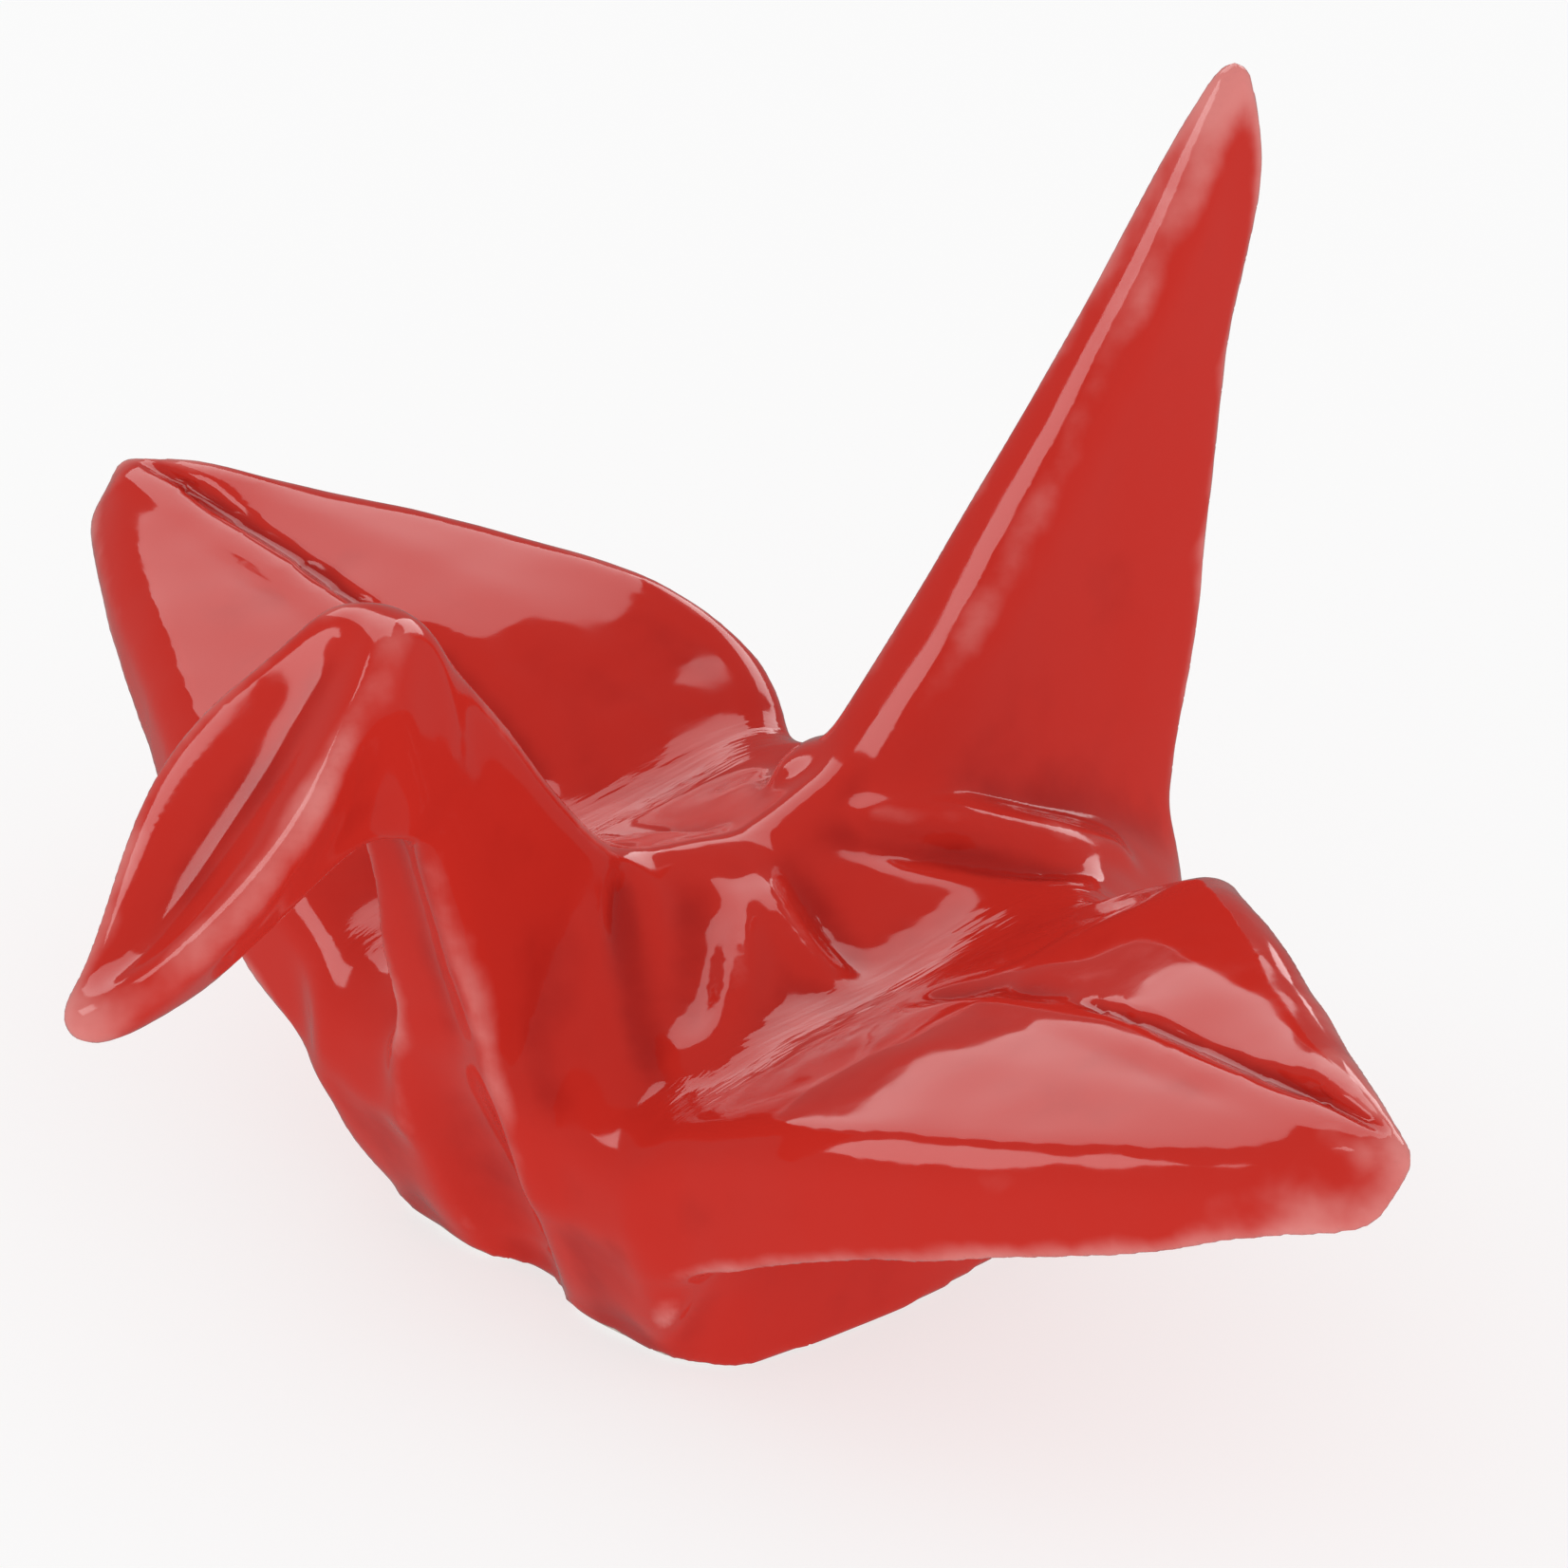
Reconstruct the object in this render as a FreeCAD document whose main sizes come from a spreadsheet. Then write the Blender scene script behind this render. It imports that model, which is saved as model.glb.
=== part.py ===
"""Folded-crane figurine: a small glazed ceramic ornament in the shape of a folded paper crane.

The clay body is cast hollow and stands on a flat bare foot.  Two wings, a neck with its head
and a tail are cast on their own and stuck to it with slip, and one coat of glaze covers
everything but the foot.  Millimetres; +X towards the beak, +Y the crane's left, +Z up;
the origin is on the ground under the middle of the outline.
"""
import FreeCAD, Part
import os
import Sketcher

doc = FreeCAD.newDocument("FoldedCrane")

# ---------------------------------------------------------------- driving dimensions

SIZES = {
    # over the glaze
    "wing_span": 69.6,
    "total_length": 52.4,
    "total_height": 37.2,
    "glaze_thick": 0.3,
    "bare_height": 0.5,        # how far up the foot stays unglazed
    "slip_thick": 0.3,         # layer of slip in each stuck joint
    "slip_margin": 0.6,        # how far the slip stays back from a joint's outline
    # hollow body: half widths and heights of its cross-sections
    "wall_thick": 2.2,
    "vent_bore": 4.0,
    "vent_x": -1.0,
    "side_y": 9.4,             # flat sides that the wings are stuck to
    "foot_half": 9.2,
    "foot_front_x": 6.4,
    "foot_back_x": -8.2,
    "foot_end_half": 7.6,      # the foot narrows towards its back
    "side_low": 4.6,           # flat side: lower and upper edge
    "side_high": 11.4,
    "trough_y": 8.0,           # dip between wing and backbone
    "trough_low": 11.2,
    "chest_x": 8.4,
    "chest_low": 4.2,
    "chest_half": 7.8,
    "chest_side_rise": 1.0,    # chest's lower edge up to its flat side
    "breast_back_x": 2.0,      # breast: the neck's front carried down to the foot
    "breast_foot_x": 6.6,
    "breast_foot_half": 4.0,
    "neck_seat": 12.4,         # flat top under the neck
    "neck_seat_half": 3.4,
    "neck_seat_x": 0.4,
    "hump_x": -3.0,
    "hump_high": 13.7,
    "hump_half": 1.8,
    "tail_seat": 11.0,         # flat deck under the tail
    "tail_seat_x": -6.4,
    "tail_seat_half": 4.0,
    "hip_x": -11.8,
    "hip_low": 1.8,
    "hip_half": 5.2,
    "rump_inset": 5.2,         # body's back end, in front of the tail's furthest point
    "rump_low": 6.0,
    "rump_half": 2.2,
    "rump_side_rise": 1.5,
    "rump_bulge": 0.6,
    "hollow_peak_half": 1.0,   # half width of the hollow's top
    # wing sections: at the root, at a bend part of the way out, and at the tip
    "wing_bend_share": 0.36,
    "root_lead_x": 8.0, "root_lead_low": 4.8, "root_lead_high": 9.6,
    "root_crease_x": -2.0, "root_crease_z": 11.3,
    "root_trail_x": -11.4, "root_trail_low": 9.2, "root_trail_high": 12.6,
    "bend_lead_x": 6.5, "bend_lead_low": 8.6, "bend_lead_high": 12.0,
    "bend_crease_x": -2.2, "bend_crease_z": 14.2,
    "bend_trail_x": -9.2, "bend_trail_low": 13.8, "bend_trail_high": 16.1,
    "tip_lead_x": -0.6, "tip_lead_low": 13.8, "tip_lead_high": 15.0,
    "tip_crease_x": -1.6, "tip_crease_z": 15.9,
    "tip_trail_x": -2.8, "tip_trail_low": 14.8, "tip_trail_high": 16.3,
    # neck sections, from its seat up to the crown
    "nape_seat_x": 0.8, "throat_seat_x": 9.8, "nape_seat_half": 1.2, "throat_seat_half": 2.7,
    "nape_low_x": 3.6, "throat_low_x": 11.0, "nape_low_half": 1.1, "throat_low_half": 2.2,
    "nape_high_x": 9.2, "throat_high_x": 13.2, "nape_high_half": 1.2, "throat_high_half": 2.0,
    "nape_top_x": 11.6, "throat_top_x": 14.0, "nape_top_half": 1.3, "throat_top_half": 1.9,
    "throat_fold": 1.0,        # depth of the fold down the front of the neck
    "neck_low_rise": 3.0,
    "crown_high": 26.5,        # top of the neck and head
    "neck_top_gap": 2.6,
    # head sections, from inside the neck to the beak: half width, drop below the crown, and depth
    "head_back_x": 12.4, "head_back_half": 1.5, "head_back_drop": 0.0, "head_back_deep": 6.1,
    "head_brow_half": 2.7, "head_brow_drop": 1.1, "head_brow_deep": 7.2,
    "head_wide_half": 3.6, "head_wide_drop": 3.3, "head_wide_deep": 6.3,
    "head_bill_half": 2.2, "head_bill_drop": 7.5, "head_bill_deep": 3.0,
    "head_tip_half": 0.5, "head_tip_drop": 9.8, "head_tip_deep": 0.9,
    "hood_dip": 0.5,           # fold along the top of the head
    "chin_share": 0.45,        # width of the head's underside against its top
    "brow_share": 0.24, "wide_share": 0.47, "bill_share": 0.76,
    # tail sections, from its seat up to the tip
    "tail_set_back": 0.4,      # front of the tail, behind the front of its seat
    "tail_low_set_back": 0.8,
    "tail_back_inset": 4.2, "tail_low_back_inset": 3.2, "tail_mid_back_inset": 1.9,
    "tail_tip_back_inset": 0.6,
    "tail_mid_width": 8.6, "tail_high_width": 5.3, "tail_tip_width": 1.3,
    "tail_seat_thick": 5.0, "tail_low_thick": 3.8, "tail_mid_thick": 2.8,
    "tail_high_thick": 2.2, "tail_tip_thick": 1.1,
    "tail_low_share": 0.19, "tail_mid_share": 0.57, "tail_high_share": 0.84,
    "tail_edge_share": 0.45,   # thickness of the tail's edges against its middle
    "tail_keel_share": 0.25,   # where the tail is thickest, back from its front edge
}

sheet = doc.addObject("Spreadsheet::Sheet", "Sizes")
for row, (alias, number) in enumerate(SIZES.items(), start=1):
    sheet.set(f"A{row}", alias)
    sheet.set(f"B{row}", str(number))
    sheet.setAlias(f"B{row}", alias)
doc.recompute()


class Term(str):
    """A formula over the sheet, so that formulas can be added up and scaled as numbers are."""

    def __add__(self, other):
        return Term(f"({self} + {other})")

    def __sub__(self, other):
        return Term(f"({self} - {other})")

    def __mul__(self, other):
        return Term(f"({self} * {other})")

    def __neg__(self):
        return Term(f"(0 - {self})")


def size(alias):
    return Term(f"Sizes.{alias}")


def between(start, end, share):
    return start + (end - start) * share


def lower_of(first, second):
    return Term(f"min({first}; {second})")


NOTHING = Term("0")
GLAZE = size("glaze_thick")
HALF_LENGTH = size("total_length") * 0.5 - GLAZE
TAIL_TIP_Z = size("total_height") - GLAZE
WING_TIP_Y = size("wing_span") * 0.5 - GLAZE

# ---------------------------------------------------------------- building blocks

PLANE_SIGN = {"XY_Plane": 1, "XZ_Plane": -1, "YZ_Plane": 1}   # the plane's normal on its axis


def own_plane(body, role):
    return next(f for f in body.Origin.OriginFeatures if f.Role == role)


def polygon(body, name, role, place, corners):
    """Closed polygon square to one axis, at place on it.  Every corner is bound to the sheet."""
    sketch = body.newObject("Sketcher::SketchObject", name)
    sketch.AttachmentSupport = [(own_plane(body, role), "")]
    sketch.MapMode = "FlatFace"
    away = place if PLANE_SIGN[role] > 0 else -place
    sketch.setExpression(".AttachmentOffset.Base.z", away)
    spots = [FreeCAD.Vector(float(sheet.evalExpression(u)), float(sheet.evalExpression(v)), 0)
             for u, v in corners]
    count = len(spots)
    for i, spot in enumerate(spots):
        sketch.addGeometry(Part.LineSegment(spot, spots[(i + 1) % count]), False)
    for i in range(count):
        sketch.addConstraint(Sketcher.Constraint("Coincident", i, 2, (i + 1) % count, 1))
    for i, (u, v) in enumerate(corners):
        for kind, formula, number in (("DistanceX", u, spots[i].x), ("DistanceY", v, spots[i].y)):
            index = sketch.addConstraint(Sketcher.Constraint(kind, -1, 1, i, 1, number))
            sketch.setExpression(f"Constraints[{index}]", formula)
    return sketch


def loft(body, name, sections, kind="PartDesign::AdditiveLoft"):
    feature = body.newObject(kind, name)
    feature.Profile = sections[0]
    feature.Sections = sections[1:]
    feature.Ruled = True
    for sketch in sections:
        sketch.Visibility = False
    return feature


def new_body(label):
    body = doc.addObject("PartDesign::Body", label)
    body.Label = label
    return body


def slab(label, role, place, corners, toward_plus):
    """Flat layer of slip, laid on a joint face."""
    body = new_body(label)
    sketch = polygon(body, label + "_outline", role, place, corners)
    pad = body.newObject("PartDesign::Pad", label + "_layer")
    pad.Profile = sketch
    pad.setExpression("Length", size("slip_thick"))
    pad.Reversed = toward_plus != (PLANE_SIGN[role] > 0)
    return body


# ---------------------------------------------------------------- hollow body

def body_section(low_z, low_half, side_low, side_half, trough_half, trough_z, top_half, top_z, grow):
    """Cross-section of the body, symmetric about the middle plane, as (y, z) corners."""
    half = [
        (low_half + grow, low_z - grow),
        (side_half + grow, side_low),
        (side_half + grow, size("side_high")),
        (trough_half + grow, trough_z + grow),
        (top_half + grow, top_z + grow),
    ]
    return half + [(-y, z) for y, z in reversed(half)]


def body_stations(grow):
    """(name, x, section) from the chest to the rump."""
    rump_x = -HALF_LENGTH + size("rump_inset")
    side = (size("side_low"), size("side_y"))
    trough = (size("trough_y"), size("trough_low"))
    neck_top = (size("neck_seat_half"), size("neck_seat"))
    tail_top = (size("tail_seat_half"), size("tail_seat"))
    rump_half = size("rump_half")
    rump_side = rump_half + size("rump_bulge")
    return [
        ("chest", size("chest_x") + grow, body_section(
            size("chest_low"), size("chest_half"),
            size("chest_low") + size("chest_side_rise"), size("side_y"),
            *trough, *neck_top, grow)),
        ("foot_front", size("foot_front_x"), body_section(
            NOTHING, size("foot_half"), *side, *trough, *neck_top, grow)),
        ("neck_back", size("neck_seat_x"), body_section(
            NOTHING, size("foot_half"), *side, *trough, *neck_top, grow)),
        ("hump", size("hump_x"), body_section(
            NOTHING, size("foot_half"), *side, *trough, size("hump_half"), size("hump_high"), grow)),
        ("tail_front", size("tail_seat_x"), body_section(
            NOTHING, size("foot_end_half"), *side, *trough, *tail_top, grow)),
        ("foot_back", size("foot_back_x"), body_section(
            NOTHING, size("foot_end_half"), *side, *trough, *tail_top, grow)),
        ("hip", size("hip_x"), body_section(
            size("hip_low"), size("hip_half"), *side, size("trough_y"), size("tail_seat"),
            *tail_top, grow)),
        ("rump", rump_x - grow, body_section(
            size("rump_low"), rump_half, size("rump_low") + size("rump_side_rise"), rump_side,
            rump_side, size("tail_seat"), rump_half, size("tail_seat"), grow)),
    ]


def breast_stations(grow):
    """Level sections of the breast, from the foot up to the neck's seat."""
    back = (size("breast_back_x"), size("nape_seat_half") + grow)
    sections = []
    for name, z, front_x, front_half in (
            ("foot", NOTHING - grow, size("breast_foot_x"), size("breast_foot_half")),
            ("seat", size("neck_seat") + grow, size("throat_seat_x"), size("throat_seat_half"))):
        front = (front_x + grow, front_half + grow)
        fold = (front[0] - size("throat_fold"), NOTHING)
        sections.append((name, z, [back, front, fold, (front[0], -front[1]), (back[0], -back[1])]))
    return sections


def body_solid(label, grow):
    body = new_body(label)
    sketches = [polygon(body, f"{label}_{name}", "YZ_Plane", x, corners)
                for name, x, corners in body_stations(grow)]
    loft(body, label + "_cast", sketches)
    breast = [polygon(body, f"{label}_breast_{name}", "XY_Plane", z, corners)
              for name, z, corners in breast_stations(grow)]
    loft(body, label + "_breast", breast)
    return body


def hollow_section(floor_half, top_half, top_z):
    """Cross-section of the space inside the body, one wall in from its outside."""
    wall = size("wall_thick")
    half = [
        (floor_half - wall, wall),
        (size("side_y") - wall, size("side_low")),
        (size("trough_y") - wall, size("trough_low") - wall),
        (top_half, top_z - wall),
    ]
    return half + [(-y, z) for y, z in reversed(half)]


body_shell = body_solid("body_shell", NOTHING)
doc.recompute()
solid_volume = body_shell.Shape.Volume
hollow_stations = [
    ("front", size("foot_front_x") - size("wall_thick"),
     hollow_section(size("foot_half"), size("hump_half"), size("neck_seat"))),
    ("neck", size("neck_seat_x"),
     hollow_section(size("foot_half"), size("hump_half"), size("neck_seat"))),
    ("hump", size("hump_x"),
     hollow_section(size("foot_half"), size("hollow_peak_half"), size("hump_high"))),
    ("tail", size("tail_seat_x"),
     hollow_section(size("foot_end_half"), size("hump_half"), size("tail_seat"))),
    ("back", size("foot_back_x"),
     hollow_section(size("foot_end_half"), size("hump_half"), size("tail_seat"))),
]
hollow_sketches = [polygon(body_shell, f"hollow_{name}", "YZ_Plane", x, corners)
                   for name, x, corners in hollow_stations]
loft(body_shell, "cast_hollow", hollow_sketches, "PartDesign::SubtractiveLoft")
doc.recompute()
hollow_volume = body_shell.Shape.Volume
if hollow_volume >= solid_volume:
    raise RuntimeError("the hollow removed no clay")

vent_sketch = body_shell.newObject("Sketcher::SketchObject", "vent_outline")
vent_sketch.AttachmentSupport = [(own_plane(body_shell, "XY_Plane"), "")]
vent_sketch.MapMode = "FlatFace"
vent_circle = Part.Circle(FreeCAD.Vector(SIZES["vent_x"], 0, 0), FreeCAD.Vector(0, 0, 1),
                          SIZES["vent_bore"] / 2)
vent_sketch.addGeometry(vent_circle, False)
vent_sketch.addConstraint(Sketcher.Constraint("PointOnObject", 0, 3, -1))
vent_sketch.addConstraint(Sketcher.Constraint("DistanceX", -1, 1, 0, 3, SIZES["vent_x"]))
vent_sketch.addConstraint(Sketcher.Constraint("Diameter", 0, SIZES["vent_bore"]))
vent_sketch.setExpression("Constraints[1]", size("vent_x"))
vent_sketch.setExpression("Constraints[2]", size("vent_bore"))
vent = body_shell.newObject("PartDesign::Pocket", "vent")
vent.Profile = vent_sketch
vent.setExpression("Length", size("wall_thick") * 1.2)
vent.Reversed = True
doc.recompute()
if body_shell.Shape.Volume >= hollow_volume:
    raise RuntimeError("the vent removed no clay")

# ---------------------------------------------------------------- wings

WING_JOINT_Y = size("side_y") + size("slip_thick")


def wing_section(station, grow):
    """Cross-section of the left wing, as (x, z) corners."""
    def at(name):
        return size(f"{station}_{name}")
    return [
        (at("lead_x") + grow, at("lead_low") - grow),
        (at("lead_x") + grow, at("lead_high") + grow),
        (at("crease_x"), at("crease_z") + grow),
        (at("trail_x") - grow, at("trail_high") + grow),
        (at("trail_x") - grow, at("trail_low") - grow),
    ]


def wing_solid(label, side, root_y, tip_y, grow):
    """side is 1 for the crane's left and -1 for its right."""
    bend_y = between(WING_JOINT_Y, WING_TIP_Y, size("wing_bend_share"))
    body = new_body(label)
    sketches = [polygon(body, f"{label}_{station}", "XZ_Plane", y * side,
                        wing_section(station, grow))
                for station, y in (("root", root_y), ("bend", bend_y), ("tip", tip_y))]
    loft(body, label + "_cast", sketches)
    return body


def wing_slip_outline():
    """The wing's root, kept back all round by the slip margin."""
    back = size("slip_margin")
    return [
        (size("root_lead_x") - back, size("root_lead_low") + back),
        (size("root_lead_x") - back, size("root_lead_high") - back),
        (size("root_crease_x"), size("root_crease_z") - back),
        (size("root_trail_x") + back, lower_of(size("side_high"), size("root_trail_high")) - back),
        (size("root_trail_x") + back, size("root_trail_low") + back * 2),
    ]


WING_SIDES = (("left", 1), ("right", -1))
wings = {side: wing_solid(f"{side}_wing", sign, WING_JOINT_Y, WING_TIP_Y, NOTHING)
         for side, sign in WING_SIDES}
wing_slips = {side: slab(f"{side}_wing_slip_seam", "XZ_Plane", size("side_y") * sign,
                         wing_slip_outline(), sign > 0)
              for side, sign in WING_SIDES}

# ---------------------------------------------------------------- neck and head

NECK_JOINT_Z = size("neck_seat") + size("slip_thick")
CROWN_Z = size("crown_high")


def neck_section(station, grow):
    """Level section of the neck, as (x, y) corners, with the fold down its front."""
    nape = (size(f"nape_{station}_x") - grow, size(f"nape_{station}_half") + grow)
    throat = (size(f"throat_{station}_x") + grow, size(f"throat_{station}_half") + grow)
    fold = (throat[0] - size("throat_fold"), NOTHING)
    return [nape, throat, fold, (throat[0], -throat[1]), (nape[0], -nape[1])]


def head_section(station, grow):
    """Upright section of the head, as (y, z) corners, with the fold along its top."""
    half = size(f"head_{station}_half")
    top = CROWN_Z - size(f"head_{station}_drop")
    low = top - size(f"head_{station}_deep")
    top_half = half + grow
    low_half = half * size("chin_share") + grow
    top_z = top + grow
    return [
        (low_half, low - grow),
        (top_half, top_z),
        (NOTHING, top_z - size("hood_dip")),
        (-top_half, top_z),
        (-low_half, low - grow),
    ]


def neck_and_head_solid(label, seat_z, grow):
    body = new_body(label)
    heights = (("seat", seat_z),
               ("low", NECK_JOINT_Z + size("neck_low_rise")),
               ("high", CROWN_Z - size("neck_top_gap")),
               ("top", CROWN_Z + grow))
    neck = [polygon(body, f"{label}_neck_{station}", "XY_Plane", z, neck_section(station, grow))
            for station, z in heights]
    loft(body, label + "_neck", neck)
    back_x = size("head_back_x")
    stations = (("back", back_x - grow),
                ("brow", between(back_x, HALF_LENGTH, size("brow_share"))),
                ("wide", between(back_x, HALF_LENGTH, size("wide_share"))),
                ("bill", between(back_x, HALF_LENGTH, size("bill_share"))),
                ("tip", HALF_LENGTH + grow))
    head = [polygon(body, f"{label}_head_{station}", "YZ_Plane", x, head_section(station, grow))
            for station, x in stations]
    loft(body, label + "_head", head)
    return body


def neck_slip_outline():
    back = size("slip_margin")
    corners = neck_section("seat", NOTHING)
    return [
        (corners[0][0] + back, corners[0][1] - back),
        (corners[1][0] - back - size("throat_fold"), corners[1][1] - back),
        (corners[3][0] - back - size("throat_fold"), corners[3][1] + back),
        (corners[4][0] + back, corners[4][1] + back),
    ]


neck_and_head = neck_and_head_solid("neck_and_head", NECK_JOINT_Z, NOTHING)
neck_slip = slab("neck_slip_seam", "XY_Plane", size("neck_seat"), neck_slip_outline(), True)

# ---------------------------------------------------------------- tail

TAIL_JOINT_Z = size("tail_seat") + size("slip_thick")


def tail_section(front_x, back_x, thick, grow):
    """Level section of the tail, as (x, y) corners: a blade, thickest near its front."""
    keel_x = between(front_x, back_x, size("tail_keel_share"))
    keel = thick * 0.5 + grow
    edge = thick * 0.5 * size("tail_edge_share") + grow
    return [
        (front_x + grow, edge),
        (front_x + grow, -edge),
        (keel_x, -keel),
        (back_x - grow, -edge),
        (back_x - grow, edge),
        (keel_x, keel),
    ]


TAIL_FRONT_X = size("tail_seat_x") - size("tail_set_back")


def tail_back(inset):
    return -HALF_LENGTH + inset


def tail_solid(label, seat_z, grow):
    def height(share):
        return between(TAIL_JOINT_Z, TAIL_TIP_Z, size(share))
    low_front_x = size("tail_seat_x") - size("tail_low_set_back")
    mid_back = tail_back(size("tail_mid_back_inset"))
    high_back = tail_back(NOTHING)
    tip_back = tail_back(size("tail_tip_back_inset"))
    stations = (
        ("seat", seat_z, TAIL_FRONT_X, tail_back(size("tail_back_inset"))),
        ("low", height("tail_low_share"), low_front_x, tail_back(size("tail_low_back_inset"))),
        ("mid", height("tail_mid_share"), mid_back + size("tail_mid_width"), mid_back),
        ("high", height("tail_high_share"), high_back + size("tail_high_width"), high_back),
        ("tip", TAIL_TIP_Z + grow, tip_back + size("tail_tip_width"), tip_back),
    )
    body = new_body(label)
    sketches = [polygon(body, f"{label}_{name}", "XY_Plane", z,
                        tail_section(front, back, size(f"tail_{name}_thick"), grow))
                for name, z, front, back in stations]
    loft(body, label + "_cast", sketches)
    return body


def tail_slip_outline():
    back = size("slip_margin")
    front_x = TAIL_FRONT_X - back
    rump_x = -HALF_LENGTH + size("rump_inset") + back
    keel_x = between(TAIL_FRONT_X, tail_back(size("tail_back_inset")), size("tail_keel_share"))
    keel = size("tail_seat_thick") * 0.5 - back
    edge = size("tail_seat_thick") * 0.5 * size("tail_edge_share") - back * 0.5
    return [(front_x, edge), (front_x, -edge), (keel_x, -keel),
            (rump_x, -edge), (rump_x, edge), (keel_x, keel)]


tail = tail_solid("tail", TAIL_JOINT_Z, NOTHING)
tail_slip = slab("tail_slip_seam", "XY_Plane", size("tail_seat"), tail_slip_outline(), True)
doc.recompute()

# ---------------------------------------------------------------- glaze coat

clay = [body_shell, neck_and_head, tail, wings["left"], wings["right"],
        neck_slip, tail_slip, wing_slips["left"], wing_slips["right"]]

coated = [
    body_solid("coated_body", GLAZE),
    neck_and_head_solid("coated_neck_and_head", size("neck_seat"), GLAZE),
    tail_solid("coated_tail", size("tail_seat"), GLAZE),
    wing_solid("coated_left_wing", 1, size("side_y"), WING_TIP_Y + GLAZE, GLAZE),
    wing_solid("coated_right_wing", -1, size("side_y"), WING_TIP_Y + GLAZE, GLAZE),
]
doc.recompute()

dipped = doc.addObject("Part::MultiFuse", "dipped_figure")
dipped.Shapes = coated

wiped_foot = doc.addObject("Part::Box", "wiped_foot")
wiped_foot.setExpression("Length", size("total_length"))
wiped_foot.setExpression("Width", size("wing_span"))
wiped_foot.setExpression("Height", size("bare_height") * 2)
wiped_foot.setExpression(".Placement.Base.x", -HALF_LENGTH)
wiped_foot.setExpression(".Placement.Base.y", -WING_TIP_Y)
wiped_foot.setExpression(".Placement.Base.z", -size("bare_height"))

inside = doc.addObject("Part::MultiFuse", "clay_and_bare_foot")
inside.Shapes = clay + [body_solid("closed_body", NOTHING), wiped_foot]
inside.Refine = False

glaze_coat = doc.addObject("Part::Cut", "glaze_coat")
glaze_coat.Label = "glaze_coat"
glaze_coat.Base = dipped
glaze_coat.Tool = inside
doc.recompute()

# ---------------------------------------------------------------- checks and files

nodes = clay + [glaze_coat]
for thing in doc.Objects:
    if "Invalid" in thing.State or "Error" in thing.State:
        raise RuntimeError(f"{thing.Name} failed: {thing.State}")
for node in nodes:
    if node.Shape.isNull() or not node.Shape.isValid():
        raise RuntimeError(f"{node.Label} has no valid shape")

os.makedirs("parts", exist_ok=True)
for node in nodes:
    node.Shape.exportStep(f"parts/{node.Label}.step")
    box = node.Shape.BoundBox
    print(f"{node.Label:24s} solids {len(node.Shape.Solids)} volume {node.Shape.Volume:9.2f}"
          f"  x {box.XMin:7.2f} {box.XMax:7.2f}  y {box.YMin:7.2f} {box.YMax:7.2f}"
          f"  z {box.ZMin:6.2f} {box.ZMax:6.2f}")
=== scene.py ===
"""Folded-crane figurine: a small cast clay crane, stuck together with slip and dipped in red glaze."""
import math

import bpy
import numpy as np
import openvdb
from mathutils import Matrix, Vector


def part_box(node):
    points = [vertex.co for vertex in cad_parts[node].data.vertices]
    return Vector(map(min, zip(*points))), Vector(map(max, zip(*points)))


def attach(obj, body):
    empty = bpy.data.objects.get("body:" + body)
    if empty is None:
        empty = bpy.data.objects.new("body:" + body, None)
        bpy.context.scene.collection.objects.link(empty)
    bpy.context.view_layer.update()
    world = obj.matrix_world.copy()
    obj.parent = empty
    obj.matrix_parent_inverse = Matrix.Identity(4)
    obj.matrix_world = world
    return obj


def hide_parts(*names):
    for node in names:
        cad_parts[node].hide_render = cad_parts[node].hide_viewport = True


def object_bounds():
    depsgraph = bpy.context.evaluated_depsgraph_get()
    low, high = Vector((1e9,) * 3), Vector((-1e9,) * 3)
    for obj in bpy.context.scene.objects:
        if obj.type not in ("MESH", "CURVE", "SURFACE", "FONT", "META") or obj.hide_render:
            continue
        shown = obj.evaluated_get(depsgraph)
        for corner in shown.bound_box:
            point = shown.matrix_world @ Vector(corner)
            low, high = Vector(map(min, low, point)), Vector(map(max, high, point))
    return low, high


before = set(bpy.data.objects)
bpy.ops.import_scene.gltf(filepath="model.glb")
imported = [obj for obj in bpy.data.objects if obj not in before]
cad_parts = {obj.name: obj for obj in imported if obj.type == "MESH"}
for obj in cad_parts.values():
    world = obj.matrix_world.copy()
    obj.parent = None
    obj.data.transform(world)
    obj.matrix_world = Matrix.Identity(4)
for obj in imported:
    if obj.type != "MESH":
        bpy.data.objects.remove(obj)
cad_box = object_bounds()

# ---------------------------------------------------------------- clay body
# The body is cast hollow in porcelain clay: a blunt breast, flat sides under the wings and a low
# backbone.  It is the first piece on the bench, and everything else is stuck to it.
# All clay is shaped as distance to its surface, in millimetres, on one block of fine cells.

MM = 0.001
GLAZE = 0.3                                   # thickness of the glaze over the clay
BARE_FOOT = 0.2                               # the glaze is wiped off this far up the foot
CELL = 0.25
REACH = 2.0                                   # distances are kept up to this far from the clay

low_corner, high_corner = cad_box
nose_x = high_corner[0] / MM
rear_x = low_corner[0] / MM
tip_y = high_corner[1] / MM
top_z = high_corner[2] / MM


def cells(start, end):
    """Cell centres from start to end, on whole multiples of the cell."""
    return (np.arange(math.floor(start / CELL), math.ceil(end / CELL) + 1) * CELL).astype(np.float32)


MARGIN = 1.5
SUNK = -2.5                                   # the foot's walls are carried on below the ground
block = (cells(rear_x - MARGIN, nose_x + MARGIN),
         cells(-MARGIN, tip_y + MARGIN),      # the crane's left half; the right is its mirror
         cells(-MARGIN, top_z + MARGIN))


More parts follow.
